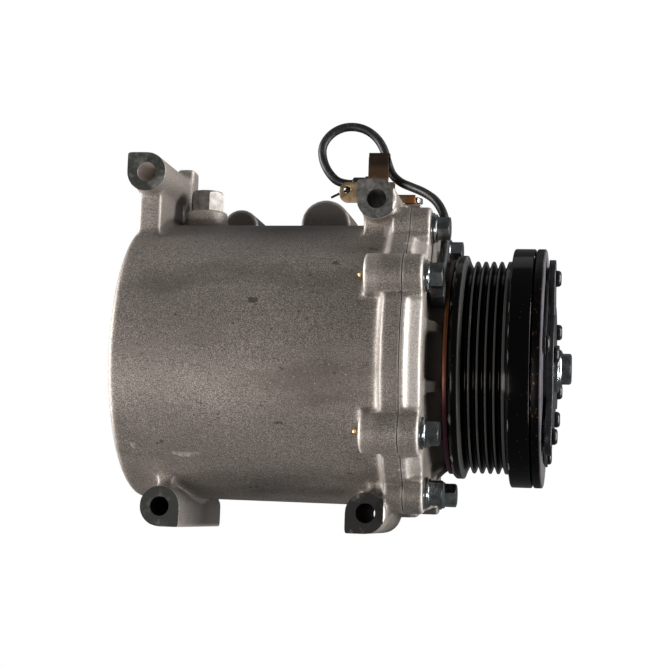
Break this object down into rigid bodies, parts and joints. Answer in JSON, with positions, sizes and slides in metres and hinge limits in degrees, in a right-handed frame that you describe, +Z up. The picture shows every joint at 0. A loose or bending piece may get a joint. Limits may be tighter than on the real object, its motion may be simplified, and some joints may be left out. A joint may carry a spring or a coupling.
{
  "type": "automotive air conditioning compressor",
  "caption": "Belt-driven scroll compressor for a car's air conditioning, with a magnetic clutch, mounting lugs and hose ports.",
  "frame": {"origin": "on the shaft axis, at the middle of the pulley's belt grooves", "axes": "+X along the shaft out of the clutch end, +Z up with the compressor as it sits on the engine, +Y towards the hose ports' mouths"},
  "size_m": [0.1962, 0.136, 0.1897],
  "materials": {
    "cast_aluminium": "sand-cast, tumbled, dull",
    "machined_aluminium": "turned and milled",
    "zinc_steel": "bright zinc plate",
    "bracket_steel": "yellow chromate, stained",
    "pulley_steel": "gloss black enamel over spun steel",
    "armature_steel": "bare ground steel, tarnished",
    "spring_steel": "black oxide spring steel",
    "hub_steel": "phosphated steel",
    "coil_steel": "rust-brown primer on pressed steel",
    "ground_steel": "hardened and ground",
    "bearing_steel": "polished ball steel",
    "cast_iron": "as cast",
    "copper_wire": "enamelled copper winding",
    "epoxy": "cast epoxy",
    "black_rubber": "moulded rubber",
    "lead_jacket": "glossy black lead jacket",
    "black_plastic": "moulded nylon",
    "cage_plastic": "moulded nylon bearing cage",
    "seal_plastic": "filled seal polymer"
  },
  "bodies": {
    "housing": {"rear_housing": "cast_aluminium", "front_housing": "cast_aluminium", "housing_seal_ring": "black_rubber", "long_joint_bolts": "zinc_steel", "short_joint_bolts": "zinc_steel", "joint_bolt_washers": "zinc_steel", "relief_valve": "zinc_steel", "fixed_scroll": "machined_aluminium", "fixed_scroll_tip_seal": "seal_plastic", "fixed_scroll_screws": "ground_steel", "discharge_reed": "ground_steel", "reed_retainer": "ground_steel", "reed_screw": "ground_steel", "thrust_plate": "ground_steel", "guide_rings": "ground_steel", "main_bearing_outer_race": "ground_steel", "nose_bearing_cup": "ground_steel", "shaft_seal": "black_rubber", "shaft_seal_snap_ring": "spring_steel", "nose_snap_ring": "spring_steel", "coil_snap_ring": "spring_steel", "pulley_bearing_inner_race": "ground_steel", "coil_mounting_plate": "coil_steel", "coil_shell": "coil_steel", "coil_winding": "copper_wire", "coil_potting": "epoxy", "coil_lead_grommet": "black_plastic", "coil_lead": "lead_jacket", "lead_sleeve": "black_plastic", "lead_connector": "black_plastic", "lead_bracket": "bracket_steel", "bracket_screw": "zinc_steel"},
    "shaft": {"crankshaft": "ground_steel", "main_bearing_inner_race": "ground_steel", "drive_bushing": "ground_steel", "counterweight": "cast_iron", "hub_barrel": "hub_steel", "hub_plate": "hub_steel", "hub_rivets": "spring_steel", "lobe_rivets": "spring_steel", "leaf_springs": "spring_steel", "hub_shim": "hub_steel", "centre_washer": "zinc_steel", "centre_bolt": "zinc_steel"},
    "orbiter": {"orbiting_scroll": "machined_aluminium", "orbiting_scroll_tip_seal": "seal_plastic", "anti_rotation_pins": "ground_steel", "crank_pin_bearing_cup": "ground_steel"},
    "crank_needles": {"crank_pin_bearing_needles": "bearing_steel"},
    "main_cage": {"main_bearing_cage": "cage_plastic", "main_bearing_balls": "bearing_steel"},
    "nose_needles": {"nose_bearing_needles": "bearing_steel"},
    "pulley_wheel": {"pulley": "pulley_steel", "pulley_bearing_outer_race": "ground_steel", "pulley_bearing_snap_ring": "spring_steel"},
    "pulley_cage": {"pulley_bearing_cage": "cage_plastic", "pulley_bearing_balls": "bearing_steel"},
    "armature": {"armature_plate": "armature_steel", "armature_rivets": "spring_steel"}
  },
  "joints": [
    {"name": "shaft_spin", "type": "hinge", "parent": "housing", "child": "shaft", "pos_m": [0, 0, 0], "axis": [1, 0, 0], "continuous": true},
    {"name": "scroll_orbit", "type": "hinge", "parent": "shaft", "child": "orbiter", "pos_m": [0, 0, 0.00427], "axis": [1, 0, 0], "continuous": true},
    {"name": "crank_needle_roll", "type": "hinge", "parent": "shaft", "child": "crank_needles", "pos_m": [0, 0, 0.00427], "axis": [1, 0, 0], "continuous": true},
    {"name": "main_ball_roll", "type": "hinge", "parent": "housing", "child": "main_cage", "pos_m": [0, 0, 0], "axis": [1, 0, 0], "continuous": true},
    {"name": "nose_needle_roll", "type": "hinge", "parent": "housing", "child": "nose_needles", "pos_m": [0, 0, 0], "axis": [1, 0, 0], "continuous": true},
    {"name": "pulley_spin", "type": "hinge", "parent": "housing", "child": "pulley_wheel", "pos_m": [0, 0, 0], "axis": [1, 0, 0], "continuous": true},
    {"name": "pulley_ball_roll", "type": "hinge", "parent": "housing", "child": "pulley_cage", "pos_m": [0, 0, 0], "axis": [1, 0, 0], "continuous": true},
    {"name": "armature_pull", "type": "slide", "parent": "shaft", "child": "armature", "axis": [-1, 0, 0], "range_m": [0, 0.00045], "stiffness_N_per_m": 20000}
  ],
  "couplings": [
    {"joint": "scroll_orbit", "follows": "shaft_spin", "ratio": -1},
    {"joint": "crank_needle_roll", "follows": "shaft_spin", "ratio": -0.551},
    {"joint": "main_ball_roll", "follows": "shaft_spin", "ratio": 0.4},
    {"joint": "nose_needle_roll", "follows": "shaft_spin", "ratio": 0.445},
    {"joint": "pulley_ball_roll", "follows": "pulley_spin", "ratio": 0.558}
  ]
}
